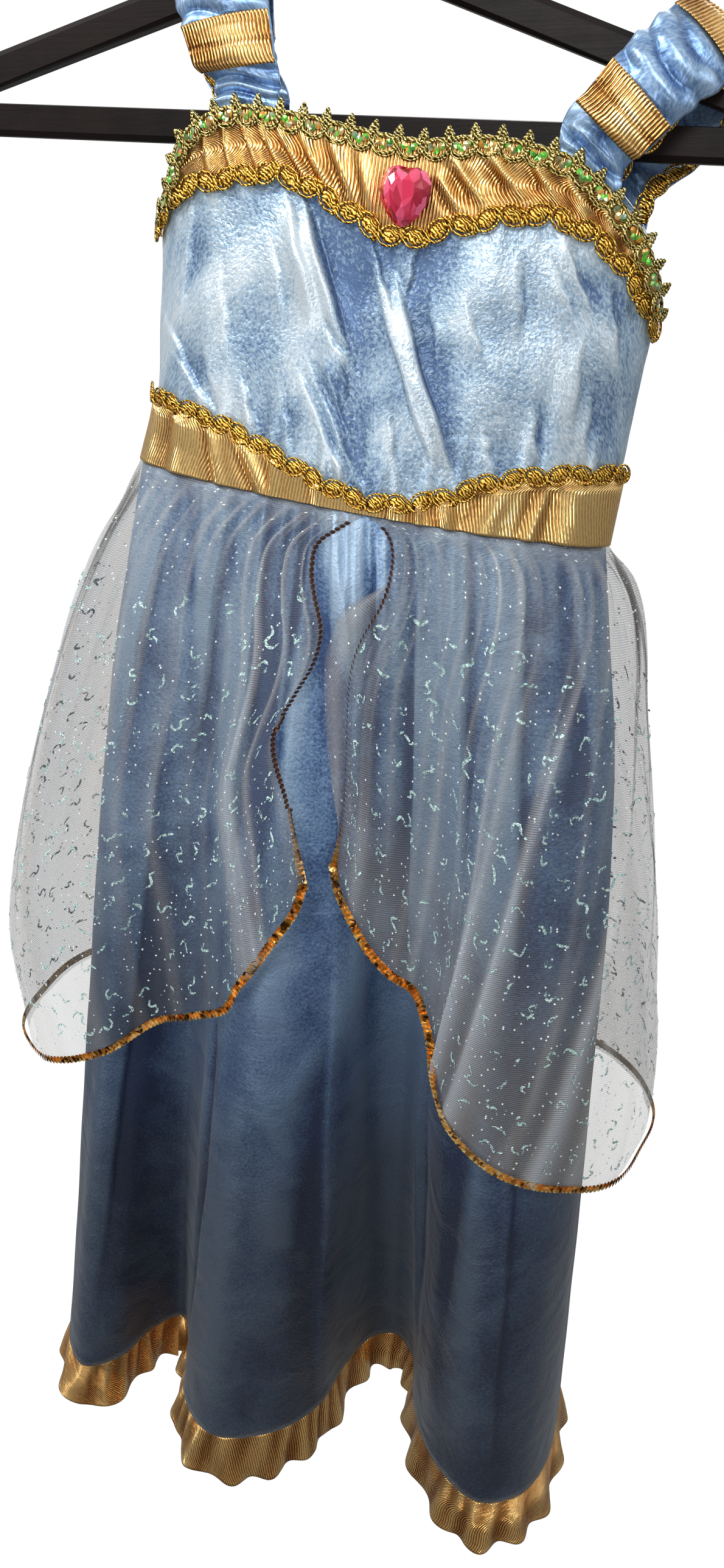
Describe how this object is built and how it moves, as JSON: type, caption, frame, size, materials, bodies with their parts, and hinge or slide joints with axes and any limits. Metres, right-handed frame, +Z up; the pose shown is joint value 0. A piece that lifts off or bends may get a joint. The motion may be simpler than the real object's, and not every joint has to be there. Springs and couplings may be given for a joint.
{
  "type": "princess dress on a hanger",
  "caption": "Child's sleeveless princess dress with wide gathered straps, trimmed bodice, sheer petal overskirt and ruffled long skirt, hanging on a moulded hanger.",
  "frame": {"origin": "inside top of the hanger's hook, where it rests on a rail", "axes": "+Z up, -Y the front of the dress, +X to the right as seen from the front; the hanger's bar lies along X, its right end a little lower"},
  "size_m": [0.4688, 0.1978, 0.9427],
  "materials": {
    "hanger_plastic": "semi-gloss black-brown moulding",
    "hook_wire": "plated bent wire",
    "bodice_satin": "pale blue satin with a crushed sheen",
    "skirt_satin": "blue satin, deeper towards the hem",
    "gold_lame": "gathered metallic lamé with fine ribs",
    "gold_braid": "metallic scroll braid",
    "picot_braid": "olive-gold picot braid with clear sequins",
    "jewel": "clear rose faceted plastic",
    "glitter_organza": "sheer ribbed organza with glitter",
    "sequin_edging": "overlapping copper sequins"
  },
  "bodies": {
    "root": {"hanger": "hanger_plastic", "hanger_hook": "hook_wire", "bodice_front": "bodice_satin", "bodice_back": "bodice_satin", "strap_left": "bodice_satin", "strap_right": "bodice_satin", "skirt_front": "skirt_satin", "skirt_back": "skirt_satin", "neck_band": "gold_lame", "waist_band": "gold_lame", "hem_ruffle_front": "gold_lame", "hem_ruffle_back": "gold_lame", "strap_left_band_1": "gold_lame", "strap_left_band_2": "gold_lame", "strap_left_band_3": "gold_lame", "strap_right_band_1": "gold_lame", "strap_right_band_2": "gold_lame", "strap_right_band_3": "gold_lame", "neck_braid": "gold_braid", "waist_braid": "gold_braid", "strap_left_braid": "gold_braid", "strap_right_braid": "gold_braid", "neck_trim": "picot_braid", "gem": "jewel", "overlay_left": "glitter_organza", "overlay_right": "glitter_organza", "edging_left": "sequin_edging", "edging_right": "sequin_edging"}
  },
  "joints": []
}
